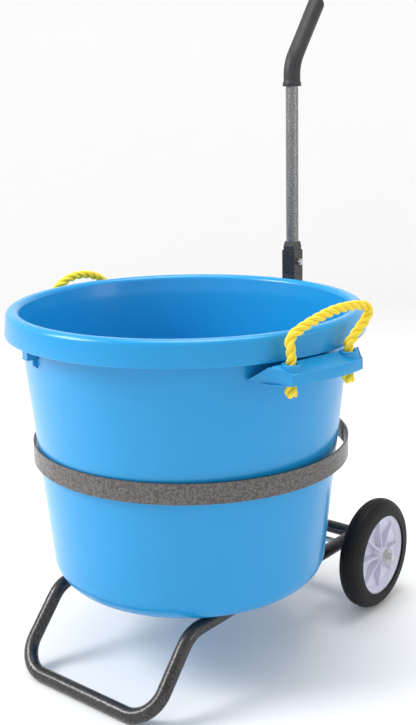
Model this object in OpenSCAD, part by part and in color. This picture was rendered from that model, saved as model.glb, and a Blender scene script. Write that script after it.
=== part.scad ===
// Round wash tub with two rope handles, carried on a two-wheeled tube cart.
// X runs across the cart, Y from the foot to the pull handle, Z up. The ground is Z = 0.

/* [Tub] */
// Outside diameter of the rim skirt
rim_d = 545; // [520:1:560]
// Height of the tub
tub_h = 425; // [400:1:440]
// Outside radius of the wall at the floor, before the base is rounded
tub_base_r = 209; // [200:1:212]
// Outside radius of the wall under the rim
tub_top_r = 252.5; // [246:0.5:256]
// Wall thickness
tub_wall = 3.6; // [3:0.1:5]
// Outside radius of the rounded base edge
base_round = 38; // [25:1:45]
// Depth of the rim skirt
skirt_h = 37; // [25:1:45]
// How far the loose tub is turned in its hoop
tub_yaw = -10.8; // [-15:0.1:15]

/* [Lugs and ropes] */
// Distance from the tub's axis to a lug's outer face
lug_reach = 307; // [302:1:312]
// Half length of a lug at its outer face
lug_half = 71; // [70:1:78]
// Thickness of a lug at its outer face
lug_t = 15.5; // [13:0.5:18]
// Distance from the tub's axis to the rope holes
rope_hole_x = 284.5; // [283:0.5:290]
// Distance between the two rope holes of a lug
rope_hole_gap = 109; // [100:1:115]
// Rope diameter
rope_d = 14.2; // [12:0.1:15]

/* [Frame] */
// Outside diameter of the frame tube
tube_d = 21.3; // [20:0.1:22]
// Wall thickness of the frame tube
tube_wall = 1.8; // [1.5:0.1:2.2]
// Distance from the middle of the cart to a rail
rail_x = 131; // [125:1:140]
// Height of the rails' centre line
rail_z = 110; // [108:1:116]
// Slope of the legs
leg_slope = 49; // [45:1:55]
// Distance from the tub's axis forward to the foot
foot_y = 246; // [235:1:250]
// Centre line radius of the tube bends
bend_r = 46; // [38:1:50]

/* [Hoop and post] */
// Height of the hoop's middle above the ground
hoop_z = 327; // [315:1:340]
// Width of the hoop's strap
hoop_w = 30; // [25:1:32]
// Inside radius of the hoop
hoop_r = 240.5; // [240:0.5:243]
// Distance of the hoop's centre behind the tub's axis
hoop_y = 8; // [6:0.5:9]
// Width of the square post
post_w = 25; // [24:0.5:25.4]
// Distance of the post behind the tub's axis
post_y = 287; // [286:0.5:292]
// Height of the post's top above the ground
post_top = 592; // [580:1:605]

/* [Handle] */
// Outside diameter of the handle tube
handle_d = 21; // [20:0.1:21.3]
// Height of the bend in the handle tube
handle_bend_z = 903; // [890:1:915]
// Outside diameter of the hand grip
grip_d = 28; // [27:0.5:29]

/* [Wheels] */
// Diameter of a wheel
wheel_d = 184; // [178:1:190]
// Distance of the axle behind the tub's axis
axle_y = 272.5; // [268:0.5:278]
// Distance from the middle of the cart to a wheel's middle
wheel_x = 175; // [172:1:185]
// Width of a tyre
tyre_w = 38; // [34:1:40]
// Radius of the wheel hub under the tyre
hub_r = 66; // [62:1:68]
// Axle diameter
axle_d = 9.5; // [9:0.1:10]

/* [Hidden] */
$fn = 96;

tub_blue = "deepskyblue";
rope_yellow = "gold";
hammer_grey = "dimgray";
zinc = "silver";
rubber = "black";
hub_white = "whitesmoke";

// The handle tube and its grip are straight, then lean back after one bend.
handle_bend_r = 60;
handle_lean = 36;
lean_cut = handle_bend_r * tan(handle_lean / 2);
lean_length = 100;
grip_bottom = 866;
grip_end = 2;
bend_back = handle_bend_r * (1 - cos(handle_lean));
grip_back = post_y + bend_back + (lean_length + grip_end) * sin(handle_lean) + grip_d / 2;
// The origin is midway between the rim's front and the grip's back.
cart_y = -(grip_back - rim_d / 2) / 2;
// Small gap between pieces that only rest on or pass each other.
gap = 0.35;
tub_z = rail_z + tube_d / 2 + gap;
wall_slope = (tub_top_r - tub_base_r) / tub_h;
post_wall = 1.5;
insert_w = post_w - 2 * post_wall - 0.3;
insert_bottom = 500;
insert_top = 598.5;
insert_cone = 8;
socket_bolt_z = post_top - 20;
socket_bolt_d = 6;
hoop_bolt_d = 8;
strap_t = 3;
foot_z = tube_d / 2;
foot_press = 0.9;
foot_half = rail_x - bend_r;
// The legs climb from the foot to the rails' height, and bend there.
leg_rise = rail_z - foot_z;
knee_y = foot_y - leg_rise / tan(leg_slope);
knee_cut = bend_r * tan(leg_slope / 2);
leg_length = leg_rise / sin(leg_slope) - knee_cut - bend_r;
rail_end_y = post_y + 15;
axle_z = wheel_d / 2;
bracket_t = 4;
boss_half = 23;
spacer_end = wheel_x - boss_half - 2;
washer_t = 1.6;
clip_x = wheel_x + boss_half + 6;
clip_wire = 2.4;
axle_end = clip_x + 7;

// Heights above the tub's base: a lug's flat underside, its peak beside the skirt and its collars' tops.
lug_low = 362.5;
lug_peak = tub_h - skirt_h - 0.7;
lug_peak_x = 275;
lug_root = 234;
lug_peak_half = lug_half + 13;
lug_root_half = lug_half + 17;
collar_d = 26;
collar_top = 388.7;
// The rope turns over at this height, just above its collar.
rope_turn_z = collar_top + 9.3;
knot_end_z = lug_low - 18;
// Routes of the rope arches: distance along the lug, then height above the turning point.
right_route = [
    [-55, 8.5], [-57, 16], [-54, 26], [-40, 33], [-12, 42], [26, 50],
    [66, 51], [92, 45], [90, 31], [74, 17], [61, 5.5]
];
left_route = [
    [-54, 8.5], [-50, 17.5], [-39, 26], [-22, 33.5], [0, 36.5],
    [22, 33.5], [39, 26], [50, 17.5], [54, 8.5]
];

// ---- Helpers ----

function unit(v) = v / norm(v);
function arc(cx, cy, r, from, to, steps) =
    [for (i = [0 : steps]) let (a = from + (to - from) * i / steps) [cx + r * cos(a), cy + r * sin(a)]];
function wall_r(z) = tub_base_r + wall_slope * z;
// A smooth curve through the points of a route.
function curve_point(p, i, t) =
    let (
        a = p[max(i - 1, 0)],
        b = p[i],
        c = p[i + 1],
        d = p[min(i + 2, len(p) - 1)]
    )
    0.5 * (2 * b + (c - a) * t + (2 * a - 5 * b + 4 * c - d) * t * t + (3 * b - a - 3 * c + d) * t * t * t);
function curve(p, steps) = [
    for (i = [0 : len(p) - 2], s = [0 : steps - 1]) curve_point(p, i, s / steps),
    p[len(p) - 1]
];

// Puts a child's X, Y and Z axes along x, y and z, with its origin at p.
module place(p, x, y, z) {
    multmatrix([
        [x[0], y[0], z[0], p[0]],
        [x[1], y[1], z[1], p[1]],
        [x[2], y[2], z[2], p[2]],
        [0, 0, 0, 1]
    ]) children();
}

module ring_2d(od, id) {
    difference() {
        circle(d = od);
        if (id > 0) circle(d = id);
    }
}

// A straight round bar or tube from a to b.
module bar(a, b, od, id = 0) {
    z = unit(b - a);
    x = unit(abs(z[0]) > 0.9 ? cross([0, 1, 0], z) : cross([1, 0, 0], z));
    place(a, x, cross(z, x), z) linear_extrude(norm(b - a)) ring_2d(od, id);
}

// A bend from Z towards X at radius r, with its children carried on from its end.
module bend(turn, r, od, id = 0) {
    place([r, 0, 0], [-1, 0, 0], [0, 0, 1], [0, 1, 0])
        rotate_extrude(angle = turn) translate([r, 0]) ring_2d(od, id);
    translate([r, 0, 0]) rotate([0, turn, 0]) translate([-r, 0, 0]) children();
}

// A straight length along Z, a bend towards X and a second straight length.
module bent_bar(before, turn, after, r, od, id = 0) {
    linear_extrude(before) ring_2d(od, id);
    translate([0, 0, before]) bend(turn, r, od, id) linear_extrude(after) ring_2d(od, id);
}

// Faces that join rings of points, listed one ring after another, into walls.
function strip(rings, sides) = [
    for (i = [0 : rings - 2], k = [0 : sides - 1])
        let (a = i * sides + k, b = i * sides + (k + 1) % sides)
        [a, b, b + sides, a + sides]
];
function cap(ring, sides) = [for (k = [0 : sides - 1]) ring * sides + k];
function reversed(list) = [for (i = [len(list) - 1 : -1 : 0]) list[i]];

// A plain cylinder along X from x0 to x1 at height z and distance y.
module x_bar(x0, x1, y, z, d, id = 0) {
    translate([x0, y, z]) rotate([90, 0, 90]) linear_extrude(x1 - x0) ring_2d(d, id);
}

module hex_x(x0, x1, y, z, across) {
    translate([x0, y, z]) rotate([90, 0, 90]) cylinder(d = across / cos(30), h = x1 - x0, $fn = 6);
}

module cart_frame() {
    translate([0, cart_y, 0]) children();
}

module tub_frame() {
    translate([0, cart_y, tub_z]) rotate([0, 0, tub_yaw]) children();
}

module both_sides() {
    children();
    mirror([1, 0, 0]) children();
}

// ---- Tub ----

// Half section of the wall, the base and the folded rim.
module tub_section() {
    lean = atan(wall_slope);
    stretch = sqrt(1 + wall_slope * wall_slope);
    base_c = tub_base_r + wall_slope * base_round - base_round * stretch;
    skirt_r = rim_d / 2;
    polygon(concat(
        [[0, 0]],
        arc(base_c, base_round, base_round, -90, -lean, 12),
        [[wall_r(tub_h - 14), tub_h - 14]],
        arc(wall_r(tub_h - 14) + 8, tub_h - 12, 8, 180, 90, 5),
        arc(skirt_r - 11, tub_h - 8, 4, 90, 0, 4),
        [[skirt_r - tub_wall, tub_h - skirt_h]],
        [[skirt_r, tub_h - skirt_h], [skirt_r, tub_h - skirt_h + 3]],
        arc(skirt_r - 11.5, tub_h - 9, 9, 0, 90, 8),
        arc(wall_r(tub_h) + 5, tub_h - 8, 8, 90, 180, 6),
        [[wall_r(tub_h - 20) - tub_wall, tub_h - 20]],
        arc(base_c, base_round, base_round - tub_wall, -lean, -90, 12),
        [[0, tub_wall]]
    ));
}

// The space inside the wall, which lugs and gussets must not enter.
module tub_inside() {
    cylinder(r1 = wall_r(300) - tub_wall + 1, r2 = wall_r(tub_h) - tub_wall + 1, h = tub_h - 300);
}

// A lug slopes down outwards from its peak, and down inwards to the wall.
module lug() {
    difference() {
        union() {
            intersection() {
                cylinder(r = lug_reach, h = tub_h);
                linear_extrude(tub_h)
                    polygon([
                        [lug_root - 2, -lug_root_half], [lug_peak_x, -lug_peak_half],
                        [lug_reach - 9, -lug_half], [lug_reach + 14, -lug_peak_half + 26],
                        [lug_reach + 14, lug_peak_half - 26], [lug_reach - 9, lug_half],
                        [lug_peak_x, lug_peak_half], [lug_root - 2, lug_root_half]
                    ]);
                translate([0, 150, 0])
                    rotate([90, 0, 0])
                        linear_extrude(300)
                            polygon([
                                [lug_root, lug_low], [lug_reach + 5, lug_low],
                                [lug_reach + 5, lug_low + lug_t - 1.4],
                                [lug_peak_x, lug_peak], [lug_root, lug_low + 0.5]
                            ]);
            }
            for (side = [-1, 1])
                translate([rope_hole_x, side * rope_hole_gap / 2, lug_low + 2])
                    cylinder(d = collar_d, h = collar_top - lug_low - 2);
        }
        translate([0, 0, 300]) tub_inside();
        for (side = [-1, 1])
            translate([rope_hole_x, side * rope_hole_gap / 2, lug_low - 10])
                cylinder(d = rope_d + 1.6, h = 60);
    }
}

// A stacking block under the skirt, with the rib that holds it to the wall.
module stacking_block() {
    z = tub_h - skirt_h;
    difference() {
        union() {
            translate([240, -9, z - 16]) cube([25, 18, 18]);
            translate([238, -2, z - 30]) cube([14, 4, 31]);
        }
        translate([0, 0, 300]) tub_inside();
    }
}

module tub() {
    color(tub_blue) tub_frame() {
        rotate_extrude($fn = 180) tub_section();
        for (half_turn = [0, 180]) rotate([0, 0, half_turn]) {
            lug();
            rotate([0, 0, -98]) stacking_block();
        }
    }
}

// ---- Rope handles ----

module rope_arch(route) {
    sides = 10;
    mid = curve(route, 3);
    last = len(mid) - 1;
    points = [
        for (i = [0 : last])
            let (t = unit(mid[min(i + 1, last)] - mid[max(i - 1, 0)]))
            for (k = [0 : sides - 1])
                let (out = rope_d / 2 * sin(360 * k / sides), up = rope_d / 2 * cos(360 * k / sides))
                [rope_hole_x + out, mid[i][0] - up * t[1], rope_turn_z + mid[i][1] + up * t[0]]
    ];
    polyhedron(
        points,
        concat(strip(last + 1, sides), [reversed(cap(0, sides)), cap(last, sides)]),
        convexity = 4
    );
}

// The two rope ends of one lug: each fills its hole, with a tight stop knot below and a round top above.
module rope_ends() {
    knot_r = rope_d / 2 + 2.4;
    for (side = [-1, 1])
        translate([rope_hole_x, side * rope_hole_gap / 2, 0])
            rotate_extrude()
                polygon(concat(
                    [[0, knot_end_z], [knot_r - 2, knot_end_z], [knot_r - 1.2, knot_end_z + 1.5]],
                    arc(knot_r - 6, knot_end_z + 7, 6, -40, 50, 6),
                    [[rope_d / 2, knot_end_z + 14]],
                    arc(0, rope_turn_z, rope_d / 2, 0, 90, 6)
                ));
}

module rope_right() {
    color(rope_yellow) tub_frame() rope_arch(right_route);
}

module rope_left() {
    color(rope_yellow) tub_frame() rotate([0, 0, 180]) rope_arch(left_route);
}

module rope_knots_right() {
    color(rope_yellow) tub_frame() rope_ends();
}

module rope_knots_left() {
    color(rope_yellow) tub_frame() rotate([0, 0, 180]) rope_ends();
}

// ---- Cart frame ----

// One side: the rail under the tub, the knee and the leg down to the foot's corner bend.
module side_rail() {
    place([rail_x, rail_end_y, rail_z], [0, 0, -1], [1, 0, 0], [0, -1, 0])
        bent_bar(
            rail_end_y + knee_y - knee_cut, leg_slope, leg_length,
            bend_r, tube_d, tube_d - 2 * tube_wall
        );
}

// The foot with its two corner bends. It lies flat along X and its bends lean back to the legs.
module foot_tube() {
    color(hammer_grey) cart_frame()
        difference() {
            translate([0, -foot_y, foot_z]) rotate([leg_slope, 0, 0]) {
                x_bar(-foot_half, foot_half, 0, 0, tube_d, tube_d - 2 * tube_wall);
                both_sides()
                    place([foot_half, bend_r, 0], [0, -1, 0], [1, 0, 0], [0, 0, 1])
                        rotate_extrude(angle = 90) translate([bend_r, 0])
                            ring_2d(tube_d, tube_d - 2 * tube_wall);
            }
            // The underside is pressed flat between the bends.
            translate([-foot_half + 8, -foot_y - 30, -10])
                cube([2 * foot_half - 16, 60, 10 + foot_press]);
        }
}

module side_rail_right() {
    color(hammer_grey) cart_frame() side_rail();
}

module side_rail_left() {
    color(hammer_grey) cart_frame() mirror([1, 0, 0]) side_rail();
}

module rail_end_caps() {
    color(rubber) cart_frame() both_sides()
        translate([rail_x, rail_end_y, rail_z]) rotate([-90, 0, 0]) {
            cylinder(d = tube_d, h = 3);
            translate([0, 0, -10]) cylinder(d = tube_d - 2 * tube_wall - 0.2, h = 10.5);
        }
}

module rear_cross_tube() {
    color(hammer_grey) cart_frame()
        difference() {
            x_bar(-rail_x, rail_x, post_y, rail_z, tube_d, tube_d - 2 * tube_wall);
            both_sides()
                bar([rail_x, post_y - 30, rail_z], [rail_x, post_y + 30, rail_z], tube_d);
        }
}

// A steel tab under a rail, drilled for the axle.
module axle_bracket() {
    low = axle_z - 13;
    difference() {
        translate([rail_x - bracket_t / 2, axle_y, 0])
            rotate([90, 0, 90])
                linear_extrude(bracket_t)
                    polygon(concat(
                        [[-13, rail_z], [-13, axle_z]],
                        arc(0, axle_z, 13, 180, 360, 12),
                        [[13, rail_z]]
                    ));
        bar([rail_x, axle_y - 40, rail_z], [rail_x, axle_y + 40, rail_z], tube_d);
        x_bar(rail_x - 10, rail_x + 10, axle_y, axle_z, axle_d + 0.1);
    }
}

module axle_bracket_right() {
    color(hammer_grey) cart_frame() axle_bracket();
}

module axle_bracket_left() {
    color(hammer_grey) cart_frame() mirror([1, 0, 0]) axle_bracket();
}

// ---- Hoop ----

// A strap bent to a ring, with both ends turned back as ears on the post's sides.
module hoop_band() {
    ring_out = hoop_r + strap_t;
    ear_x = post_w / 2;
    ear_y = sqrt(hoop_r * hoop_r - ear_x * ear_x) + hoop_y;
    ear_end = post_y + 13;
    color("gray") cart_frame()
        difference() {
            union() {
                translate([0, hoop_y, hoop_z - hoop_w / 2])
                    difference() {
                        cylinder(r = ring_out, h = hoop_w, $fn = 180);
                        translate([0, 0, -1]) cylinder(r = hoop_r, h = hoop_w + 2, $fn = 180);
                        translate([-ear_x, 0, -1]) cube([post_w, ring_out + 10, hoop_w + 2]);
                    }
                both_sides()
                    translate([ear_x, ear_y, hoop_z - hoop_w / 2])
                        cube([strap_t, ear_end - ear_y, hoop_w]);
            }
            x_bar(-40, 40, post_y, hoop_z, hoop_bolt_d + 0.1);
        }
}

module hoop_bolt() {
    side = post_w / 2 + strap_t;
    color(zinc) cart_frame() {
        x_bar(-side, side + 9, post_y, hoop_z, hoop_bolt_d);
        hex_x(-side - 5.3, -side, post_y, hoop_z, 13);
    }
}

module hoop_nut() {
    side = post_w / 2 + strap_t;
    color(zinc) cart_frame()
        difference() {
            hex_x(side, side + 6.5, post_y, hoop_z, 13);
            x_bar(side - 1, side + 8, post_y, hoop_z, hoop_bolt_d);
        }
}

// ---- Post and handle ----

module square_tube(w, wall, h) {
    linear_extrude(h)
        difference() {
            square(w, center = true);
            square(w - 2 * wall, center = true);
        }
}

module post() {
    foot = rail_z + 2;
    color(hammer_grey) cart_frame()
        difference() {
            translate([0, post_y, foot]) square_tube(post_w, post_wall, post_top - foot);
            x_bar(-40, 40, post_y, rail_z, tube_d);
            x_bar(-40, 40, post_y, socket_bolt_z, socket_bolt_d + 0.2);
            x_bar(-40, 40, post_y, hoop_z, hoop_bolt_d + 0.1);
        }
}

// A square plug inside the post, with four sloping faces up to the round tube.
module handle_insert() {
    taper = [
        [-insert_w / 2, 0], [insert_w / 2, 0],
        [handle_d / 2 - 1, insert_cone], [-handle_d / 2 + 1, insert_cone]
    ];
    color(hammer_grey) cart_frame()
        difference() {
            translate([0, post_y, 0]) {
                translate([0, 0, insert_bottom])
                    linear_extrude(insert_top - insert_bottom) square(insert_w, center = true);
                translate([0, 0, insert_top])
                    intersection() {
                        translate([0, 20, 0]) rotate([90, 0, 0]) linear_extrude(40) polygon(taper);
                        rotate([0, 0, 90])
                            translate([0, 20, 0]) rotate([90, 0, 0]) linear_extrude(40) polygon(taper);
                    }
            }
            // The plug is a hollow casting, open below.
            translate([0, post_y, insert_bottom - 1])
                linear_extrude(insert_top - insert_bottom - 6) square(insert_w - 5, center = true);
            x_bar(-40, 40, post_y, socket_bolt_z, socket_bolt_d + 0.2);
        }
}

module handle_frame(bottom) {
    cart_frame() place([0, post_y, bottom], [0, 1, 0], [-1, 0, 0], [0, 0, 1]) children();
}

module handle_tube() {
    bottom = insert_top + insert_cone;
    color(hammer_grey) handle_frame(bottom)
        bent_bar(
            handle_bend_z - lean_cut - bottom, handle_lean, lean_length,
            handle_bend_r, handle_d, handle_d - 3
        );
}

// The handle's centre line, as far as a distance along it from the grip's foot: along Y, up Z and lean.
function handle_at(d) =
    let (
        straight = handle_bend_z - lean_cut - grip_bottom,
        bend_length = handle_bend_r * handle_lean * PI / 180,
        a = min(max((d - straight) / bend_length, 0), 1) * handle_lean,
        rest = max(d - straight - bend_length, 0)
    )
    [
        handle_bend_r * (1 - cos(a)) + rest * sin(a),
        min(d, straight) + handle_bend_r * sin(a) + rest * cos(a),
        a
    ];

// A rubber sleeve over the tube's bend, open below with a cuff, round at its end with a vent hole.
module hand_grip() {
    sides = 24;
    vent = 0.6;
    bore = handle_d / 2 / cos(180 / sides);
    outer = grip_d / 2;
    tube_length = handle_bend_z - lean_cut - grip_bottom
        + handle_bend_r * handle_lean * PI / 180 + lean_length;
    // Each ring is a distance along the centre line and a radius: up the outside, then down the bore.
    rings = concat(
        [[0, outer + 1.5], [6, outer + 1.5], [8, outer], [17, outer]],
        [for (i = [0 : 8]) [19 + i * 4.5, outer]],
        [[tube_length + grip_end, outer]],
        [for (a = [12 : 12 : 84]) [tube_length + grip_end + outer * sin(a), outer * cos(a)]],
        [
            [tube_length + grip_end + outer - 0.1, vent],
            [tube_length + 0.3, vent], [tube_length + 0.3, bore]
        ],
        [for (i = [8 : -1 : 0]) [19 + i * 4.5, bore]],
        [[17, bore], [0, bore]]
    );
    count = len(rings);
    points = [
        for (ring = rings, k = [0 : sides - 1])
            let (
                at = handle_at(ring[0]),
                across = ring[1] * cos(360 * k / sides),
                x = ring[1] * sin(360 * k / sides)
            )
            [x, post_y + at[0] + across * cos(at[2]), grip_bottom + at[1] - across * sin(at[2])]
    ];
    close = [
        for (k = [0 : sides - 1])
            let (a = (count - 1) * sides, next = (k + 1) % sides)
            [a + k, a + next, next, k]
    ];
    color(rubber) cart_frame() polyhedron(points, concat(strip(count, sides), close), convexity = 6);
}

module socket_bolt() {
    side = post_w / 2;
    color(zinc) cart_frame() {
        x_bar(-side, side + 7, post_y, socket_bolt_z, socket_bolt_d);
        x_bar(-side - 4, -side, post_y, socket_bolt_z, 10);
    }
}

module socket_nut() {
    side = post_w / 2;
    color(zinc) cart_frame()
        difference() {
            hex_x(side, side + 5, post_y, socket_bolt_z, 10);
            x_bar(side - 1, side + 6, post_y, socket_bolt_z, socket_bolt_d);
        }
}

// ---- Axle and wheels ----

module axle_rod() {
    color(zinc) cart_frame()
        difference() {
            x_bar(-axle_end, axle_end, axle_y, axle_z, axle_d);
            both_sides()
                translate([clip_x, axle_y, axle_z - 10]) cylinder(d = clip_wire + 0.2, h = 20);
        }
}

module axle_spacers() {
    color(zinc) cart_frame() both_sides()
        x_bar(rail_x + bracket_t / 2, spacer_end, axle_y, axle_z, 15, axle_d + 0.1);
}

module axle_washers() {
    color(zinc) cart_frame() both_sides() {
        x_bar(spacer_end, spacer_end + washer_t, axle_y, axle_z, 22, axle_d + 0.1);
        x_bar(
            wheel_x + boss_half + 0.4, wheel_x + boss_half + 0.4 + washer_t,
            axle_y, axle_z, 22, axle_d + 0.1
        );
    }
}

// A spring wire bent double: one leg goes through the axle and the other along its outside.
module hairpin_clips() {
    eye_r = (axle_d + clip_wire + 0.6) / 4;
    leg = 15;
    color(zinc) cart_frame() both_sides()
        translate([clip_x, axle_y, axle_z + leg]) rotate([180, 0, 90])
            bent_bar(2 * leg, 180, 2 * leg - 5, eye_r, clip_wire);
}

module hub() {
    // Half section: boss, dished web and the barrel under the tyre.
    barrel = 15;
    section = [
        [axle_d / 2 + 0.06, -boss_half], [13, -boss_half], [14, -6], [hub_r - 14, -2],
        [hub_r - 5, -barrel], [hub_r, -barrel], [hub_r, barrel], [hub_r - 4, barrel],
        [hub_r - 10, 6], [30, 1], [15, 4], [12, boss_half], [axle_d / 2 + 0.06, boss_half]
    ];
    rotate([0, 90, 0]) {
        rotate_extrude() polygon(section);
        for (i = [0 : 7])
            rotate([0, 0, 45 * i]) rotate([90, 0, 0])
                translate([0, 0, -1.1]) linear_extrude(2.2)
                    polygon([[11.5, -1], [hub_r - 5, -1], [hub_r - 5, 10], [12, 16]]);
    }
}

module tyre() {
    crown = wheel_d / 2;
    rise = crown - hub_r;
    half = tyre_w / 2;
    outline = [
        for (i = [0 : 24])
            let (a = 180 * i / 24)
            [hub_r + rise * pow(sin(a), 0.62), half * cos(a)]
    ];
    rotate([0, 90, 0])
        rotate_extrude()
            difference() {
                polygon(outline);
                for (x = [-10, -4, 4, 10])
                    translate([
                        hub_r + rise * pow(sqrt(1 - pow(x / half, 2)), 0.62) - 1.3,
                        x - 0.9
                    ]) square([6, 1.8]);
            }
}

module at_wheel(side) {
    cart_frame() translate([side * wheel_x, axle_y, axle_z]) rotate([0, 0, side > 0 ? 0 : 180]) children();
}

module hub_right() {
    color(hub_white) at_wheel(1) hub();
}

module hub_left() {
    color(hub_white) at_wheel(-1) hub();
}

module tyre_right() {
    color(rubber) at_wheel(1) tyre();
}

module tyre_left() {
    color(rubber) at_wheel(-1) tyre();
}

tub();
rope_right();
rope_left();
rope_knots_right();
rope_knots_left();
foot_tube();
side_rail_right();
side_rail_left();
rail_end_caps();
rear_cross_tube();
axle_bracket_right();
axle_bracket_left();
hoop_band();
hoop_bolt();
hoop_nut();
post();
handle_insert();
handle_tube();
hand_grip();
socket_bolt();
socket_nut();
axle_rod();
axle_spacers();
axle_washers();
hairpin_clips();
hub_right();
hub_left();
tyre_right();
tyre_left();
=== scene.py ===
import math

import bmesh
import bpy
import numpy as np
from bpy.props import FloatProperty, FloatVectorProperty, PointerProperty
from mathutils import Matrix, Vector


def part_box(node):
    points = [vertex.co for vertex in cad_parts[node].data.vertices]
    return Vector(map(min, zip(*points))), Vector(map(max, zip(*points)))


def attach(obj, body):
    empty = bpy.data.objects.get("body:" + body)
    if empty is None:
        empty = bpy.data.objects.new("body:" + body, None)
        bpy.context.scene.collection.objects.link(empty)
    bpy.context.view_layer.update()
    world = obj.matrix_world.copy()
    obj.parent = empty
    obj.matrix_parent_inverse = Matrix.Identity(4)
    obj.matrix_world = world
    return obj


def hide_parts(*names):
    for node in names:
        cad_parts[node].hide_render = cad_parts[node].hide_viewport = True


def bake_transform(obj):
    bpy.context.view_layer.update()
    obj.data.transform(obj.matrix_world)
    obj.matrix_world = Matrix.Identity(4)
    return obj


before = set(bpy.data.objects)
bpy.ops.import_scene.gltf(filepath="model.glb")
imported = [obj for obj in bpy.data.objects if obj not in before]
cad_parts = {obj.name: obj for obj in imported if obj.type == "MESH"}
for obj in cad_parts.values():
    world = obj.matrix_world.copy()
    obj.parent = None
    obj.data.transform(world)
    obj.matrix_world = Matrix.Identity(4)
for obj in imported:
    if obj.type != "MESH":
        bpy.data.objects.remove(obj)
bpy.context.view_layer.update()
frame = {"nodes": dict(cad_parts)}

bl_info = {
    "name": "Wash Bucket on a Cart",
    "version": (1, 0, 0),
    "blender": (4, 5, 0),
    "location": "3D View > Sidebar > Bucket",
    "description": "Ropes, tub, wheels, grip and finishes for a wash bucket carried on a two-wheeled cart",
    "category": "Object",
}

# How far the post stands behind the tub's axis, that axis, the tub's base height and its turn in the hoop.
POST_BACK = 0.287
TUB_Y = (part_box("post")[0].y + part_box("post")[1].y) / 2 - POST_BACK
TUB_Z = 0.121
TUB_YAW = math.radians(-10.8)

# Tub sizes, in metres above its base and out from its axis.
RIM_R = 0.2725
TUB_H = 0.425
BASE_R = 0.209
WALL_SLOPE = (0.2525 - BASE_R) / TUB_H
WALL = 0.0036
BASE_ROUND = 0.038
SKIRT = 0.037
LUG_LOW = 0.3625
LUG_PEAK = (0.275, 0.3873)
LUG_EDGE = 0.3780
LUG_REACH = 0.307
LUG_ROOT = 0.2445
LUG_PLAN = ([0.232, 0.275, 0.298, 0.312], [0.088, 0.084, 0.071, 0.063])
COLLAR_TOP = 0.3887
HOLE_R = 0.2845
HOLE_GAP = 0.109
ROPE_D = 0.0142
ROPE_TURN = 0.398
KNOT_END = LUG_LOW - 0.018

# A strand's stand-off from the rope's middle and its own radius, as shares of the rope's diameter.
STRAND_OUT = 0.262
STRAND_R = 0.238

# The rope arches in their own planes: distance along the lug, then height above the turning point, in metres.
ROUTES = {
    "right": np.array([
        [-0.055, 0.0085], [-0.057, 0.016], [-0.054, 0.026], [-0.040, 0.033], [-0.012, 0.042], [0.026, 0.050],
        [0.066, 0.051], [0.092, 0.045], [0.090, 0.031], [0.074, 0.017], [0.061, 0.0055],
    ]),
    "left": np.array([
        [-0.054, 0.0085], [-0.050, 0.0175], [-0.039, 0.026], [-0.022, 0.0335], [0.0, 0.0365],
        [0.022, 0.0335], [0.039, 0.026], [0.050, 0.0175], [0.054, 0.0085],
    ]),
}

HUB_R = 0.066
WHEEL_R = 0.092
TYRE_HALF = 0.019
AXLE = (TUB_Y + 0.2725, 0.092)
WHEEL_X = 0.175


# ---- Surfaces ----


def rot_z(points, angle):
    """Points turned about Z by an angle: x cos - y sin, x sin + y cos."""
    c, s = math.cos(angle), math.sin(angle)
    x, y, z = points[..., 0], points[..., 1], points[..., 2]
    return np.stack([x * c - y * s, x * s + y * c, z], -1)


def on_tub(points, turn=0.0):
    """Points of the tub's own frame put in the shared frame: turned by the yaw, then moved to the tub's
    base."""
    return rot_z(points, TUB_YAW + turn) + np.array([0.0, TUB_Y, TUB_Z])


def grid_faces(nu, nv, wrap_u, wrap_v):
    """Corner numbers of the quads of an nu by nv grid, its last row or column joined to the first where
    it wraps."""
    u = np.arange(nu if wrap_u else nu - 1)[:, None]
    v = np.arange(nv if wrap_v else nv - 1)[None, :]
    u1, v1 = (u + 1) % nu, (v + 1) % nv
    return np.stack([u * nv + v, u1 * nv + v, u1 * nv + v1, u * nv + v1], -1).reshape(-1, 4)


def grid_uv(nu, nv, wrap_u, wrap_v, length, girth):
    """A quad's corners in metres along the grid's first direction and round its second, unbroken at the
    wrap."""
    u = np.arange(nu if wrap_u else nu - 1)[:, None] + np.zeros(nv if wrap_v else nv - 1)
    v = np.arange(nv if wrap_v else nv - 1)[None, :] + np.zeros(nu if wrap_u else nu - 1)[:, None]
    du, dv = length / max(u.shape[0], 1), girth / max(u.shape[1], 1)
    corners = [(u, v), (u + 1, v), (u + 1, v + 1), (u, v + 1)]
    return np.stack([np.stack([a * du, b * dv], -1) for a, b in corners], -2).reshape(-1, 2)


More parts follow.
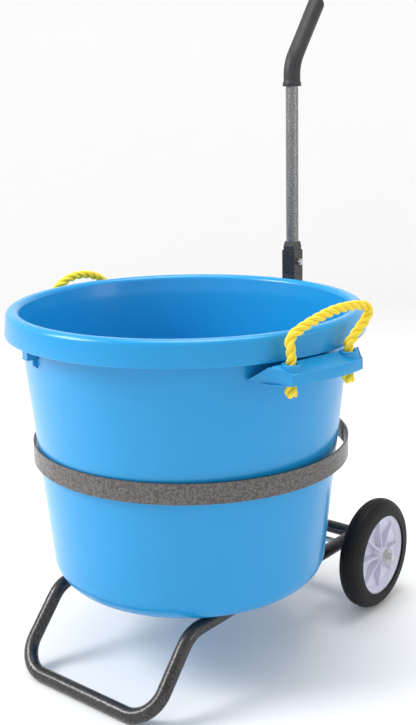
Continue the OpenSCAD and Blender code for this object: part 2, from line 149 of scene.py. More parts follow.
class Shell:
    """Grids gathered into one mesh."""

    def __init__(self):
        self.points, self.quads, self.uvs, self.caps, self.count = [], [], [], [], 0

    def grid(self, p, wrap_u=False, wrap_v=True, length=1.0, girth=1.0, caps=False, closed=True):
        """Adds an (nu, nv, 3) array of points as quads. A closed grid has its quads turned so that its
        volume, the sum of a . (b x c) / 6 over its triangles, is positive. caps fills its two end rings."""
        nu, nv = p.shape[:2]
        flat = p.reshape(-1, 3)
        quads = grid_faces(nu, nv, wrap_u, wrap_v)
        uvs = grid_uv(nu, nv, wrap_u, wrap_v, length, girth).reshape(-1, 4, 2)
        ends = [np.arange(nv)[::-1], np.arange(nv) + (nu - 1) * nv] if caps else []
        mid = flat - flat.mean(0)
        a, b, c, d = (mid[quads[:, i]] for i in range(4))
        volume = (np.cross(b, c) * a).sum() + (np.cross(c, d) * a).sum()
        if closed and volume < 0:
            quads, uvs = quads[:, ::-1], uvs[:, ::-1]
            ends = [e[::-1] for e in ends]
        self.points.append(flat)
        self.quads.append(quads + self.count)
        self.uvs.append(uvs.reshape(-1, 2))
        self.caps += [(e + self.count).tolist() for e in ends]
        self.count += len(flat)
        return self

    def build(self, name, sharp=35.0):
        """The gathered grids as one smooth object, with its doubles merged and edges sharper than an
        angle kept."""
        mesh = bpy.data.meshes.new(name)
        quads = np.concatenate(self.quads)
        mesh.from_pydata(np.concatenate(self.points).tolist(), [], quads.tolist() + self.caps)
        layer = mesh.uv_layers.new(name="lay")
        uvs = np.zeros((len(mesh.loops), 2))
        uvs[: quads.size] = np.concatenate(self.uvs)
        layer.data.foreach_set("uv", uvs.ravel())
        work = bmesh.new()
        work.from_mesh(mesh)
        bmesh.ops.remove_doubles(work, verts=work.verts, dist=2e-6)
        work.to_mesh(mesh)
        work.free()
        mesh.polygons.foreach_set("use_smooth", [True] * len(mesh.polygons))
        mesh.set_sharp_from_angle(angle=math.radians(sharp))
        piece = bpy.data.objects.new(name, mesh)
        bpy.context.scene.collection.objects.link(piece)
        return piece


def arc(cx, cy, r, start, stop, steps):
    """Points at equal angles on a circle: centre + r (cos a, sin a), angles in degrees."""
    a = np.radians(np.linspace(start, stop, steps))
    return np.stack([cx + r * np.cos(a), cy + r * np.sin(a)], -1)


def revolve(profile, steps):
    """A profile of (radius, height) turned about Z: (r cos t, r sin t, z)."""
    t = np.linspace(0, 2 * np.pi, steps, endpoint=False)
    r, z = profile[:, 0][:, None], profile[:, 1][:, None]
    return np.stack([r * np.cos(t), r * np.sin(t), z + 0 * t], -1)


def smooth_route(p, steps):
    """A curve through the points p, each stretch a cubic whose end slopes are half the step across its
    ends."""
    ahead = np.vstack([p[1:], p[-1:]])
    before = np.vstack([p[:1], p[:-1]])
    t = np.linspace(0, 1, steps, endpoint=False)[None, :, None]
    a, b, c = before[:-1, None], p[:-1, None], ahead[:-1, None]
    d = np.vstack([p[2:], p[-1:]])[:, None]
    out = 0.5 * (2 * b + (c - a) * t + (2 * a - 5 * b + 4 * c - d) * t**2 + (3 * b - a - 3 * c + d) * t**3)
    return np.vstack([out.reshape(-1, p.shape[1]), p[-1:]])


def even(p, count):
    """A path spaced evenly: its points read off at equal steps of its running length."""
    run = np.concatenate([[0], np.cumsum(np.linalg.norm(np.diff(p, axis=0), axis=1))])
    at = np.linspace(0, run[-1], count)
    return np.stack([np.interp(at, run, p[:, i]) for i in range(p.shape[1])], -1), run[-1]


def tube(path, across, radius, sides):
    """Rings round a path: path + r (cos a across + sin a (tangent x across)), r given once or for each
    ring."""
    tangent = np.gradient(path, axis=0)
    tangent /= np.linalg.norm(tangent, axis=1)[:, None]
    across = across - (across * tangent).sum(-1)[:, None] * tangent
    across = across / np.linalg.norm(across, axis=1)[:, None]
    other = np.cross(tangent, across)
    a = np.linspace(0, 2 * np.pi, sides, endpoint=False)[None, :, None]
    r = np.broadcast_to(np.asarray(radius, float), (len(path),))[:, None, None]
    return path[:, None] + r * (np.cos(a) * across[:, None] + np.sin(a) * other[:, None])


def laid_rope(shell, path, across, diameter, pitch, swell=None, sides=14, start=0.0):
    """Three strands wound round a path. Strand k stands off it by o at the angle 2 pi (k/3 + s/pitch), s being
    the distance along, and is a tube of radius r; o + r is half the rope's diameter."""
    step = np.linalg.norm(np.diff(path, axis=0), axis=1)
    run = np.concatenate([[0], np.cumsum(step)])
    tangent = np.gradient(path, axis=0)
    tangent /= np.linalg.norm(tangent, axis=1)[:, None]
    across = np.broadcast_to(across, path.shape)
    other = np.cross(tangent, across)
    swell = np.ones(len(path)) if swell is None else swell
    for k in range(3):
        a = 2 * np.pi * (k / 3 + run / pitch + start)
        out = np.cos(a)[:, None] * across + np.sin(a)[:, None] * other
        centre = path + out * (STRAND_OUT * diameter * swell)[:, None]
        rings = tube(centre, out, STRAND_R * diameter * swell, sides)
        shell.grid(rings, length=run[-1], girth=2 * math.pi * STRAND_R * diameter, caps=True)


# ---- Finishes ----


class Value:
    """One number that varies over a surface. Arithmetic on it adds Math nodes."""

    def __init__(self, finish, socket):
        self.finish, self.socket = finish, socket

    def maths(self, operation, *terms):
        return self.finish.node("ShaderNodeMath", {"operation": operation}, dict(enumerate(terms)))

    def __add__(self, other):
        return self.maths("ADD", self, other)

    def __sub__(self, other):
        return self.maths("SUBTRACT", self, other)

    def __rsub__(self, other):
        return self.maths("SUBTRACT", other, self)

    def __mul__(self, other):
        return self.maths("MULTIPLY", self, other)

    def __truediv__(self, other):
        return self.maths("DIVIDE", self, other)

    def sine(self):
        return self.maths("SINE", self)

    def clamped(self):
        return self.maths("MINIMUM", self.maths("MAXIMUM", self, 0.0), 1.0)

    __radd__ = __add__
    __rmul__ = __mul__


class Finish:
    """A material, with its Principled shader and the ways to add nodes to it."""

    def __init__(self, name, roughness, **uniform):
        self.material = bpy.data.materials.new(name)
        self.material.use_nodes = True
        self.tree = self.material.node_tree
        self.shader = self.tree.nodes["Principled BSDF"]
        self.shader.inputs["Roughness"].default_value = roughness
        for key, value in uniform.items():
            self.shader.inputs[key.replace("_", " ").title().replace("Ior", "IOR")].default_value = value

    def feed(self, socket, value):
        if isinstance(value, Value):
            self.tree.links.new(value.socket, socket)
        elif socket.type == "RGBA":
            socket.default_value = (*value, 1.0)
        else:
            socket.default_value = value

    def node(self, kind, settings, values, out=0):
        made = self.tree.nodes.new(kind)
        for key, value in settings.items():
            if key == "stops":
                ramp = made.color_ramp
                while len(ramp.elements) < len(value):
                    ramp.elements.new(0.5)
                for element, (place, level) in zip(ramp.elements, value):
                    element.position, element.color = place, (level, level, level, 1)
            else:
                setattr(made, key, value)
        for key, value in values.items():
            self.feed(made.inputs[key], value)
        return Value(self, made.outputs[out])

    def where(self):
        """The point on the object, in metres."""
        return self.node("ShaderNodeTexCoord", {}, {}, "Object")

    def lay(self):
        """The surface's own coordinates: metres along it and round it."""
        return self.node("ShaderNodeUVMap", {"uv_map": "lay"}, {})

    def parts(self, vector):
        split = self.tree.nodes.new("ShaderNodeSeparateXYZ")
        self.feed(split.inputs[0], vector)
        return [Value(self, split.outputs[i]) for i in range(3)]

    def noise(self, size, detail=3.0, at=None, stretch=(1, 1, 1)):
        """Soft noise, its lumps about a size across in metres, stretched along an axis where asked."""
        at = at or self.where()
        at = self.node("ShaderNodeMapping", {}, {"Vector": at, "Scale": stretch})
        return self.node(
            "ShaderNodeTexNoise", {}, {"Vector": at, "Scale": 1 / size, "Detail": detail, "Roughness": 0.55}
        )

    def cells(self, size):
        """Distance to the nearest of scattered points a size apart: low in a cell's middle, high at its
        edge."""
        values = {"Vector": self.where(), "Scale": 1 / size, "Smoothness": 0.6}
        return self.node("ShaderNodeTexVoronoi", {"feature": "SMOOTH_F1"}, values)

    def ramp(self, value, *stops):
        return self.node("ShaderNodeValToRGB", {"stops": stops}, {"Fac": value})

    def mix(self, mask, first, second):
        return self.node("ShaderNodeMix", {"data_type": "RGBA"}, {0: mask, 6: first, 7: second}, 2)

    def bump(self, height, distance, strength):
        values = {"Height": height, "Distance": distance, "Strength": strength}
        return self.node("ShaderNodeBump", {}, values)

    def colour(self, value):
        self.feed(self.shader.inputs["Base Color"], value)

    def rough(self, value):
        self.feed(self.shader.inputs["Roughness"], value)

    def normal(self, value):
        self.feed(self.shader.inputs["Normal"], value)


def shade(colour, factor):
    """A colour made lighter or darker by a factor."""
    return tuple(min(1.0, c * factor) for c in colour)


def wear(piece, finish):
    """Puts a finish in every material slot of a piece, or in a new one."""
    if not len(piece.material_slots):
        piece.data.materials.append(finish.material)
    for slot in piece.material_slots:
        slot.material = finish.material


def tub_plastic(colours):
    """Moulded polyethylene: slow drifts of colour and sheen, fine dimples, and scuffs near the base."""
    c = tuple(colours.tub)
    f = Finish(
        "moulded_blue_polyethylene", 0.3, specular_ior_level=0.35, coat_weight=0.1, coat_roughness=0.06
    )
    drift = f.noise(0.16, 2.0)
    sheen = f.noise(0.05, 1.0)
    scratch = f.ramp(f.noise(0.0016, 3.0, stretch=(1, 1, 0.05)), (0.6, 0), (0.9, 1))
    height = f.parts(f.where())[2]
    low = (1 - (height - TUB_Z) * 9).clamped()
    base = f.mix(drift * 0.8, shade(c, 0.94), shade(c, 1.05))
    base = f.mix(scratch * low * 0.3, base, shade(c, 1.25))
    f.colour(base)
    f.rough(0.2 + sheen * 0.08 + scratch * low * 0.2)
    f.normal(f.bump(f.noise(0.0016, 2.0), 0.00005, 0.4))
    return f


def hammer_paint(name, colour, size, metallic, roughness):
    """Hammered enamel: shallow pools with raised edges, lighter in the pool and darker along the edge."""
    f = Finish(name, roughness, metallic=metallic, coat_weight=0.35, coat_roughness=0.1)
    cell = f.cells(size)
    fine = f.cells(size * 0.45)
    edge = f.ramp(cell * 0.7 + fine * 0.3, (0.25, 0), (0.62, 1))
    fleck = f.noise(size * 0.35, 4.0)
    base = f.mix(edge, shade(colour, 1.45), shade(colour, 0.55))
    base = f.mix(fleck * 0.5, base, shade(colour, 1.2))
    f.colour(base)
    f.rough(roughness - 0.08 + edge * 0.2)
    f.normal(f.bump(1 - edge + fleck * 0.15, 0.00022, 0.8))
    return f


def zinc_plate(colours):
    """Bright zinc: fine turning marks and a cloudy passivated film."""
    c = tuple(colours.zinc)
    f = Finish("bright_zinc_plate", 0.3, metallic=1.0)
    cloud = f.noise(0.006, 4.0)
    marks = f.noise(0.0004, 2.0, stretch=(1, 0.1, 1))
    f.colour(f.mix(cloud, shade(c, 0.8), shade(c, 1.12)))
    f.rough(0.24 + cloud * 0.22)
    f.normal(f.bump(marks, 0.00005, 0.5))
    return f


def rubber(name, colour, roughness, grain):
    """Rubber: a fine dull grain and a slow change of sheen where it is handled."""
    f = Finish(name, roughness, specular_ior_level=0.25)
    bloom = f.noise(0.03, 3.0)
    f.colour(f.mix(bloom, shade(colour, 0.75), shade(colour, 1.5)))
    f.rough(roughness - 0.08 + bloom * 0.18)
    f.normal(f.bump(f.noise(grain, 3.0), 0.00015, 0.45))
    return f


def hub_plastic(colours):
    """Moulded off-white plastic: a slightly mottled matte skin."""
    c = tuple(colours.hub)
    f = Finish("moulded_hub_plastic", 0.42, specular_ior_level=0.5)
    cloud = f.noise(0.02, 3.0)
    f.colour(f.mix(cloud, shade(c, 0.92), shade(c, 1.04)))
    f.rough(0.34 + cloud * 0.18)
    f.normal(f.bump(f.noise(0.0012, 2.0), 0.0001, 0.4))
    return f


def rope_yarn(colours):
    """Twisted yarn: yarns lie across each strand as slanting ridges, with loose fibres. The colour is painted
    darker in the hollows between ridges and a little lighter on their crests, as painted shade and highlight."""
    c = tuple(colours.rope)
    f = Finish("laid_polypropylene_yarn", 0.5, specular_ior_level=0.5, sheen_weight=0.15, sheen_roughness=0.4)
    along, round_, _ = f.parts(f.lay())
    yarn_ridge_and_shade = (along * 1050.0 + round_ * 2 * math.pi * 7 / 0.0188).sine() * 0.5 + 0.5
    fibre = f.noise(0.0005, 3.0, f.lay(), stretch=(0.35, 1, 1))
    tint = f.noise(0.02, 2.0)
    # painted shade in the hollows between the yarn ridges and a slight painted highlight on their crests
    base = f.mix(yarn_ridge_and_shade, shade(c, 0.72), shade(c, 1.06))
    base = f.mix(fibre * 0.25, base, (0.98, 0.88, 0.15))
    base = f.mix(tint * 0.25, base, shade(c, 0.82))
    f.colour(base)
    f.rough(0.42 + fibre * 0.25)
    f.normal(f.bump(yarn_ridge_and_shade * 0.7 + fibre * 0.5, 0.0004, 0.8))
    return f


def floor_finish(colour):
    """A plain pale studio floor with the least variation."""
    f = Finish("studio_floor", 0.75)
    f.colour(f.mix(f.noise(0.4, 2.0) * 0.3, tuple(colour), shade(tuple(colour), 0.985)))
    return f


# ---- What a user can change ----


def colour_prop(name, description, default):
    return FloatVectorProperty(
        name=name, description=description, default=default, min=0.0, max=1.0, size=3, subtype="COLOR"
    )


def length_prop(name, description, default):
    return FloatProperty(
        name=name, description=description, default=default, min=0.0, unit="LENGTH", precision=4
    )


def power_prop(name, description, default):
    return FloatProperty(name=name, description=description, default=default, unit="POWER")


class BucketSizes(bpy.types.PropertyGroup):
    rope_lay: length_prop("Rope lay", "Length of one full turn of a rope's three strands", 0.043)
    tread_depth: length_prop("Tread depth", "Depth of the grooves round a tyre", 0.0013)
    pool_size: length_prop("Hammer pattern", "Width of one pool of the hammered paint", 0.0034)
    grip_cuff: length_prop("Grip cuff", "Radius of the cuff at the foot of the hand grip", 0.0155)


class BucketColours(bpy.types.PropertyGroup):
    tub: colour_prop("Tub", "Polyethylene of the tub", (0.012, 0.29, 0.63))
    rope: colour_prop("Rope", "Yarn of the rope handles", (0.97, 0.71, 0.012))
    frame: colour_prop("Frame", "Hammered paint of the cart's tubes", (0.048, 0.046, 0.047))
    pole: colour_prop("Handle tube", "Lighter hammered paint of the pull handle's tube", (0.21, 0.21, 0.21))
    hoop: colour_prop("Hoop", "Hammered paint of the strap hoop", (0.11, 0.102, 0.098))
    zinc: colour_prop("Hardware", "Zinc plate of bolts, nuts and axle", (0.62, 0.62, 0.60))
    grip: colour_prop("Grip", "Rubber of the hand grip", (0.035, 0.034, 0.036))
    tyre: colour_prop("Tyre", "Rubber of the tyres", (0.004, 0.004, 0.0045))
    hub: colour_prop("Hub", "Plastic of the wheel hubs", (0.66, 0.66, 0.78))


class BucketStage(bpy.types.PropertyGroup):
    floor: colour_prop("Floor", "Colour of the studio floor", (0.96, 0.96, 0.96))
    key_power: power_prop("Key light", "Power of the main soft light", 62.0)
    fill_power: power_prop("Fill light", "Power of the side light", 6.0)
    top_power: power_prop("Top light", "Power of the overhead light", 34.0)
    sky: FloatProperty(name="Surround", description="Brightness of the white surround", default=0.62, min=0.0)


# ---- The stage ----


def soft_light(name, place, aim, size, power):
    """A square area light at a place, turned to face a point."""
    lamp = bpy.data.lights.new(name, "AREA")
    lamp.size = size
    lamp.energy = power
    light = bpy.data.objects.new(name, lamp)
    light.location = place
    light.rotation_euler = (Vector(aim) - Vector(place)).to_track_quat("-Z", "Y").to_euler()
    bpy.context.scene.collection.objects.link(light)


class BUCKET_OT_stage(bpy.types.Operator):
    """Sets the camera, the pale floor and the soft lights"""

    bl_idname = "bucket.stage"
    bl_label = "Stage"

    def execute(self, context):
        scene, settings = context.scene, context.scene.bucket_stage
        azimuth, elevation, roll = (math.radians(a) for a in (39.93, 10.7, -1.13))
        look = Vector((
            -math.sin(azimuth) * math.cos(elevation), math.cos(azimuth) * math.cos(elevation),
            -math.sin(elevation),
        ))
        right = Vector((math.cos(azimuth), math.sin(azimuth), 0))
        up = right.cross(look)
        c, s = math.cos(roll), math.sin(roll)
        right, up = right * c + up * s, up * c - right * s
        lens = bpy.data.cameras.new("camera")
        lens.sensor_fit, lens.sensor_width, lens.lens = "AUTO", 36.0, 53.63
        lens.shift_x, lens.shift_y = 0.0206, -0.0829
        camera = bpy.data.objects.new("camera", lens)
        turn = Matrix((right, up, -look)).transposed().to_4x4()
        camera.matrix_world = Matrix.Translation((1.045, TUB_Y - 1.229, 0.8496)) @ turn
        scene.collection.objects.link(camera)
        scene.camera = camera

        sweep = np.vstack([[[0, 0], [1.5, 0], [2.4, 0]], arc(2.9, 1.2, 1.2, -90, 0, 16), [[4.1, 2.2]]])
        floor = Shell().grid(revolve(sweep, 96), closed=False).build("studio_floor")
        wear(floor, floor_finish(settings.floor))

        world = bpy.data.worlds.new("white_surround")
        scene.world = world
        world.use_nodes = True
        surround = world.node_tree.nodes["Background"]
        surround.inputs["Color"].default_value = (1.0, 1.0, 1.0, 1.0)
        surround.inputs["Strength"].default_value = settings.sky
        soft_light("key_light", (-1.5, -1.7, 2.1), (0, 0, 0.35), 1.2, settings.key_power)
        soft_light("fill_light", (2.3, 0.6, 1.0), (0, 0, 0.4), 0.9, settings.fill_power)
        soft_light("top_light", (0.0, 0.2, 2.6), (0, 0, 0.4), 1.4, settings.top_power)
        scene.view_settings.view_transform = "Standard"
        return {"FINISHED"}


# ---- The ropes ----

SIDES = (("right", 0.0), ("left", math.pi))


class BUCKET_OT_ropes(bpy.types.Operator):
    """Lays the two three-strand rope handles through their lugs"""

    bl_idname = "bucket.ropes"
    bl_label = "Rope handles"

    def execute(self, context):
        sizes, finish = context.scene.bucket_sizes, rope_yarn(context.scene.bucket_colours)
        half = HOLE_GAP / 2
        foot = np.array([[half, -0.022], [half, -0.011], [half, 0.0]])
        for side, turn in SIDES:
            flat = np.vstack([foot * [-1, 1], ROUTES[side], foot[::-1]])
            flat, length = even(smooth_route(flat, 12), 220)
            local = np.stack([np.full(len(flat), HOLE_R), flat[:, 0], ROPE_TURN + flat[:, 1]], -1)
            path = on_tub(local, turn)
            out = rot_z(np.array([1.0, 0.0, 0.0]), TUB_YAW + turn)
            shell = Shell()
            laid_rope(shell, path, out, ROPE_D, sizes.rope_lay)
            rope = shell.build(f"rope_handle_{side}", 60)
            wear(rope, finish)
            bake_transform(rope)
            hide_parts(f"rope_{side}")
        return {"FINISHED"}


class BUCKET_OT_knots(bpy.types.Operator):
    """Makes the four stopped rope ends under the lugs"""

    bl_idname = "bucket.knots"
    bl_label = "Stop knots"

    def execute(self, context):
        finish = rope_yarn(context.scene.bucket_colours)
        z = np.linspace(LUG_LOW + 0.010, KNOT_END + 0.0005, 44)
        up = z - KNOT_END
        swell = 1 + 0.3 * np.exp(-(((up - 0.006) / 0.005) ** 2)) - 0.12 * np.exp(-((up / 0.0016) ** 2))
        for side, turn in SIDES:
            shell = Shell()
            for y in (-HOLE_GAP / 2, HOLE_GAP / 2):
                local = np.stack([np.full(len(z), HOLE_R), np.full(len(z), y), z], -1)
                out = rot_z(np.array([1.0, 0.0, 0.0]), TUB_YAW + turn)
                laid_rope(shell, on_tub(local, turn), out, ROPE_D, 0.040, swell, start=0.2)
            knots = shell.build(f"stop_knots_{side}", 60)
            wear(knots, finish)
            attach(knots, "tub")
            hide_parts(f"rope_knots_{side}")
        return {"FINISHED"}


# ---- The tub ----


def wall_r(z):
    """Outside radius of the tub's wall at a height: the base radius plus the slope times the height."""
    return BASE_R + WALL_SLOPE * z


def tub_profile():
    """Half section of the tub as (radius, height): floor, rounded base, sloping wall, folded rim and
    skirt."""
    lean = math.degrees(math.atan(WALL_SLOPE))
    base = BASE_R + WALL_SLOPE * BASE_ROUND - BASE_ROUND * math.sqrt(1 + WALL_SLOPE**2)
    lip = WALL / 2
    up = np.linspace(0.055, TUB_H - 0.022, 30)
    down = up[::-1]
    across = np.linspace(0, 0.96, 9) * base
    return np.vstack([
        np.stack([across, 0 * across], -1),
        arc(base, BASE_ROUND, BASE_ROUND, -90, -lean, 22),
        np.stack([wall_r(up), up], -1),
        arc(wall_r(TUB_H - 0.014) + 0.008, TUB_H - 0.012, 0.008, 180, 90, 10),
        arc(RIM_R - 0.011, TUB_H - 0.008, 0.004, 90, 0, 8),
        arc(RIM_R - lip, TUB_H - SKIRT + lip, lip, 180, 360, 12),
        arc(RIM_R - 0.0115, TUB_H - 0.009, 0.009, 0, 90, 16),
        arc(wall_r(TUB_H) + 0.005, TUB_H - 0.008, 0.008, 90, 180, 14),
        np.stack([wall_r(down) - WALL, down], -1),
        arc(base, BASE_ROUND, BASE_ROUND - WALL, -lean, -90, 20),
        np.stack([across[::-1], 0 * across + WALL], -1),
    ])


def plate(outline, low, high, edge, between=0):
    """A slab over an outline that runs anticlockwise. Its end rings are drawn in by edge (1 - sin a) and lie
    edge (1 - cos a) inside low and high, with a falling from 90 degrees to 0 at low and rising again at high,
    so the slab's two ends turn in on themselves. between adds plain rings up its side."""
    step = np.roll(outline, -1, 0) - np.roll(outline, 1, 0)
    step /= np.linalg.norm(step, axis=1)[:, None]
    inward = np.stack([-step[:, 1], step[:, 0]], -1)
    a = np.radians(np.linspace(90, 0, 5))
    middle = np.linspace(low + edge, high - edge, between + 2)[1:-1]
    inset = np.concatenate([edge * (1 - np.sin(a)), 0 * middle, edge * (1 - np.sin(a[::-1]))])
    height = np.concatenate([low + edge * (1 - np.cos(a)), middle, high - edge * (1 - np.cos(a[::-1]))])
    flat = outline[None] + inward[None] * inset[:, None, None]
    return np.concatenate([flat, np.broadcast_to(height[:, None, None], (len(height), len(outline), 1))], -1)


def upright(slab, y):
    """A plate stood on edge: its outline's second direction becomes height, and its thickness lies about
    y."""
    return np.stack([slab[..., 0], y - slab[..., 2], slab[..., 1]], -1)


def lug_slab():
    """A lug as its section, x out from the axis and z up, carried along y as a share of the half length at
    that x. Past the peak x is drawn in so that the outer face follows the circle x^2 + y^2 = reach^2, and the
    inner end stops within the wall, on the circle x^2 + y^2 = root^2."""
    section = np.vstack([
        [[0.2340, LUG_LOW], [0.2560, LUG_LOW], [LUG_PEAK[0], LUG_LOW], [0.2980, LUG_LOW]],
        arc(LUG_REACH - 0.0012, LUG_LOW + 0.0012, 0.0012, -90, 0, 5),
        arc(LUG_REACH - 0.0014, LUG_EDGE - 0.0010, 0.0014, 0, 74, 5),
        [[0.2980, 0.3805]],
        arc(LUG_PEAK[0], LUG_PEAK[1] - 0.0025, 0.0025, 74, 120, 6),
        [[0.2560, 0.3758], [0.2340, 0.3630]],
    ])
    slab = plate(section, -1.0, 1.0, 0.0012, between=20)
    x, z, along = slab[..., 0], slab[..., 1], slab[..., 2]
    share = np.clip((x - LUG_PEAK[0]) / (LUG_REACH - LUG_PEAK[0]), 0, 1)
    y = along * np.interp(x, *LUG_PLAN)
    short = np.maximum(np.sqrt(LUG_ROOT**2 - y**2) - x, 0)
    z = z + np.where(z > LUG_LOW + 0.0004, 0.58 * short, 0)
    return np.stack([x + short - share * (LUG_REACH - np.sqrt(LUG_REACH**2 - y**2)), y, z], -1)


def lug_parts(shell, turn):
    """One lug with its collars, and the stacking block 98 degrees back from it."""
    shell.grid(on_tub(lug_slab(), turn), caps=True)
    ring = np.vstack([
        [[0.0079, LUG_LOW + 0.018]], arc(0.0088, COLLAR_TOP - 0.0009, 0.0009, 180, 90, 4),
        arc(0.0117, COLLAR_TOP - 0.0013, 0.0013, 90, 0, 5), [[0.0134, LUG_LOW + 0.012]],
    ])
    for y in (-HOLE_GAP / 2, HOLE_GAP / 2):
        shell.grid(on_tub(revolve(ring, 40) + np.array([HOLE_R, y, 0.0]), turn), wrap_u=True)
    under = TUB_H - SKIRT
    block = np.array([[0.2475, -0.009], [0.2645, -0.009], [0.2645, 0.009], [0.2475, 0.009]])
    web = np.array([[0.2455, under - 0.030], [0.2515, under - 0.026], [0.2515, under], [0.2465, under]])
    quarter = turn + math.radians(-98)
    shell.grid(on_tub(plate(block, under - 0.016, under + 0.002, 0.0012), quarter), caps=True)
    shell.grid(on_tub(upright(plate(web, -0.002, 0.002, 0.0006), 0.0), quarter), caps=True)


class BUCKET_OT_tub(bpy.types.Operator):
    """Makes the moulded tub with its rim, lugs and stacking blocks"""

    bl_idname = "bucket.tub"
    bl_label = "Tub"

    def execute(self, context):
        shell = Shell().grid(on_tub(revolve(tub_profile(), 240)))
        for _, turn in SIDES:
            lug_parts(shell, turn)
        tub = shell.build("moulded_tub", 42)
        wear(tub, tub_plastic(context.scene.bucket_colours))
        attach(tub, "tub")
        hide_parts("tub")
        return {"FINISHED"}


# ---- Wheels ----


class BUCKET_OT_tyres(bpy.types.Operator):
    """Moulds the two ribbed tyres"""

    bl_idname = "bucket.tyres"
    bl_label = "Tyres"

    def execute(self, context):
        finish = rubber("tyre_rubber", tuple(context.scene.bucket_colours.tyre), 0.5, 0.0012)
        depth = context.scene.bucket_sizes.tread_depth
        a = np.radians(np.linspace(0, 180, 241))
        x = TYRE_HALF * np.cos(a)
        r = HUB_R + (WHEEL_R - HUB_R) * np.sin(a) ** 0.62
        groove = sum(np.exp(-(((x - g) / 0.0008) ** 4)) for g in (-0.010, -0.004, 0.004, 0.010))
        tread = r - depth * np.clip(groove, 0, 1)
        ring = np.clip((r - HUB_R - 0.004) / 0.004, 0, 1) * np.clip((WHEEL_R - 0.003 - r) / 0.004, 0, 1)
        flank = x - np.sign(x) * 0.0005 * ring * (0.5 + 0.5 * np.cos(2 * np.pi * (r - HUB_R) / 0.0042))
        profile = np.stack([tread, flank], -1)
        for side, sign in (("right", 1), ("left", -1)):
            turned = revolve(profile, 144)
            wheel = np.stack([
                sign * WHEEL_X + turned[..., 2], AXLE[0] + turned[..., 0], AXLE[1] + turned[..., 1]
            ], -1)
            tyre = Shell().grid(wheel, wrap_u=True).build(f"tyre_{side}_ribbed", 40)
            wear(tyre, finish)
            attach(tyre, f"wheel_{side}")
            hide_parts(f"tyre_{side}")
        return {"FINISHED"}


# ---- Hand grip ----

# The handle from the grip's foot up: its straight length, then its bend's radius and angle; the foot's height
# above the ground; the sleeve's radius, its bore, and how far it runs past the bend to its round end.
STRAIGHT = 0.0175049
BEND_R = 0.060
LEAN = math.radians(36)
GRIP_FOOT = 0.866
SLEEVE_R = 0.0140
BORE_R = 0.01055
PAST_BEND = 0.100 + 0.002


def handle_line(d):
    """The handle's centre line at distances d up from the grip's foot: straight, then a bend of radius 60 mm
    through 36 degrees, then straight on. Gives the point and the direction across it, backwards and down."""
    a = np.clip((d - STRAIGHT) / BEND_R, 0, LEAN)
    rest = np.maximum(d - STRAIGHT - BEND_R * LEAN, 0)
    y = BEND_R * (1 - np.cos(a)) + rest * np.sin(a)
    z = np.minimum(d, STRAIGHT) + BEND_R * np.sin(a) + rest * np.cos(a)
    point = np.stack([0 * y, TUB_Y + POST_BACK + y, GRIP_FOOT + z], -1)
    return point, np.stack([0 * a, np.cos(a), -np.sin(a)], -1)


class BUCKET_OT_grip(bpy.types.Operator):
    """Makes the rubber sleeve over the bent end of the handle"""

    bl_idname = "bucket.grip"
    bl_label = "Hand grip"

    def execute(self, context):
        cuff = context.scene.bucket_sizes.grip_cuff
        end = STRAIGHT + BEND_R * LEAN + PAST_BEND
        body = np.linspace(0.012, end - 0.002, 70)
        a = np.linspace(0, 88, 16)
        d = np.concatenate([
            [0.010, 0.0, 0.0, 0.0006, 0.0055, 0.0065, 0.0085], body,
            end + SLEEVE_R * np.sin(np.radians(a)), [end + SLEEVE_R],
        ])
        r = np.concatenate([
            [BORE_R, BORE_R, cuff - 0.0006, cuff, cuff, cuff - 0.0005, SLEEVE_R],
            SLEEVE_R - 0.0004 * np.sin(np.pi * (body - body[0]) / (body[-1] - body[0])) ** 2,
            SLEEVE_R * np.cos(np.radians(a)), [0.0],
        ])
        point, back = handle_line(d)
        t = np.linspace(0, 2 * np.pi, 56, endpoint=False)[None, :, None]
        side = np.array([1.0, 0.0, 0.0])
        rings = point[:, None] + r[:, None, None] * (np.cos(t) * back[:, None] + np.sin(t) * side)
        grip = Shell().grid(rings).build("sleeve_grip", 50)
        wear(grip, rubber("grip_rubber", tuple(context.scene.bucket_colours.grip), 0.42, 0.0009))
        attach(grip, "cart")
        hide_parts("hand_grip")
        return {"FINISHED"}


# ---- Finishes of the carried-over parts ----

FRAME_PARTS = (
    "foot_tube", "side_rail_right", "side_rail_left", "rear_cross_tube", "axle_bracket_right",
    "axle_bracket_left", "post", "handle_insert", "handle_tube",
)
ZINC_PARTS = (
    "hoop_bolt", "hoop_nut", "socket_bolt", "socket_nut", "axle_rod", "axle_spacers", "axle_washers",
    "hairpin_clips",
)


class BUCKET_OT_frame(bpy.types.Operator):
    """Paints the cart's tubes, post and hoop, and finishes its end caps"""

    bl_idname = "bucket.frame"
    bl_label = "Frame paint"

    def execute(self, context):
        colours, size = context.scene.bucket_colours, context.scene.bucket_sizes.pool_size
        dark = hammer_paint("hammered_dark_enamel", tuple(colours.frame), size, 0.75, 0.33)
        silver = hammer_paint("hammered_silver_enamel", tuple(colours.pole), size * 0.6, 0.85, 0.24)
        bronze = hammer_paint("hammered_bronze_enamel", tuple(colours.hoop), size, 0.7, 0.42)
        for name in FRAME_PARTS:
            wear(frame["nodes"][name], silver if name == "handle_tube" else dark)
        wear(frame["nodes"]["hoop_band"], bronze)
        wear(frame["nodes"]["rail_end_caps"], rubber("cap_plastic", (0.02, 0.02, 0.02), 0.45, 0.0006))
        return {"FINISHED"}


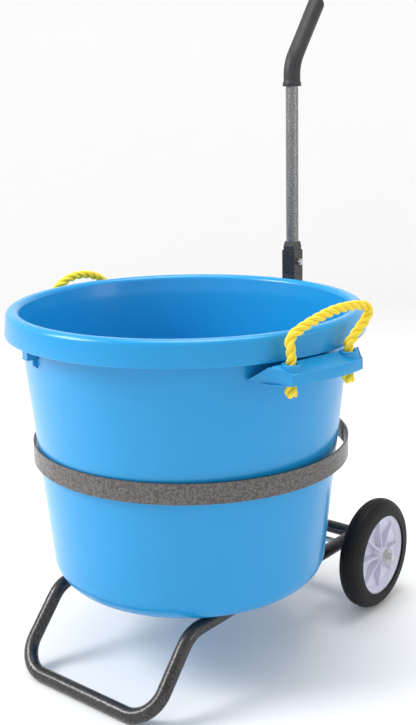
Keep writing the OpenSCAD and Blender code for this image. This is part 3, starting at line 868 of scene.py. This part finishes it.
class BUCKET_OT_hardware(bpy.types.Operator):
    """Finishes the bolts, nuts, axle and clips in zinc, and the hubs in moulded plastic"""

    bl_idname = "bucket.hardware"
    bl_label = "Hardware and hubs"

    def execute(self, context):
        colours = context.scene.bucket_colours
        zinc, plastic = zinc_plate(colours), hub_plastic(colours)
        for name in ZINC_PARTS:
            wear(frame["nodes"][name], zinc)
        for name in ("hub_right", "hub_left"):
            wear(frame["nodes"][name], plastic)
        return {"FINISHED"}


class BUCKET_PT_panel(bpy.types.Panel):
    """Lists the bucket's sizes, colours and steps"""

    bl_label = "Wash bucket"
    bl_idname = "BUCKET_PT_panel"
    bl_space_type = "VIEW_3D"
    bl_region_type = "UI"
    bl_category = "Bucket"

    def draw(self, context):
        scene = context.scene
        for group in (scene.bucket_sizes, scene.bucket_colours, scene.bucket_stage):
            box = self.layout.box()
            for name in group.__annotations__:
                box.prop(group, name)
        for step in STEPS:
            self.layout.operator(step.bl_idname)


STEPS = (
    BUCKET_OT_stage, BUCKET_OT_ropes, BUCKET_OT_knots, BUCKET_OT_tub, BUCKET_OT_tyres, BUCKET_OT_grip,
    BUCKET_OT_frame, BUCKET_OT_hardware,
)
CLASSES = (BucketSizes, BucketColours, BucketStage, *STEPS, BUCKET_PT_panel)


def register():
    for cls in CLASSES:
        bpy.utils.register_class(cls)
    bpy.types.Scene.bucket_sizes = PointerProperty(type=BucketSizes)
    bpy.types.Scene.bucket_colours = PointerProperty(type=BucketColours)
    bpy.types.Scene.bucket_stage = PointerProperty(type=BucketStage)


def unregister():
    del bpy.types.Scene.bucket_stage
    del bpy.types.Scene.bucket_colours
    del bpy.types.Scene.bucket_sizes
    for cls in reversed(CLASSES):
        bpy.utils.unregister_class(cls)


def main():
    register()
    bpy.ops.bucket.stage()
    bpy.ops.bucket.ropes()
    bpy.ops.bucket.knots()
    bpy.ops.bucket.tub()
    bpy.ops.bucket.tyres()
    bpy.ops.bucket.grip()
    bpy.ops.bucket.frame()
    bpy.ops.bucket.hardware()


if __name__ == "__main__":
    main()
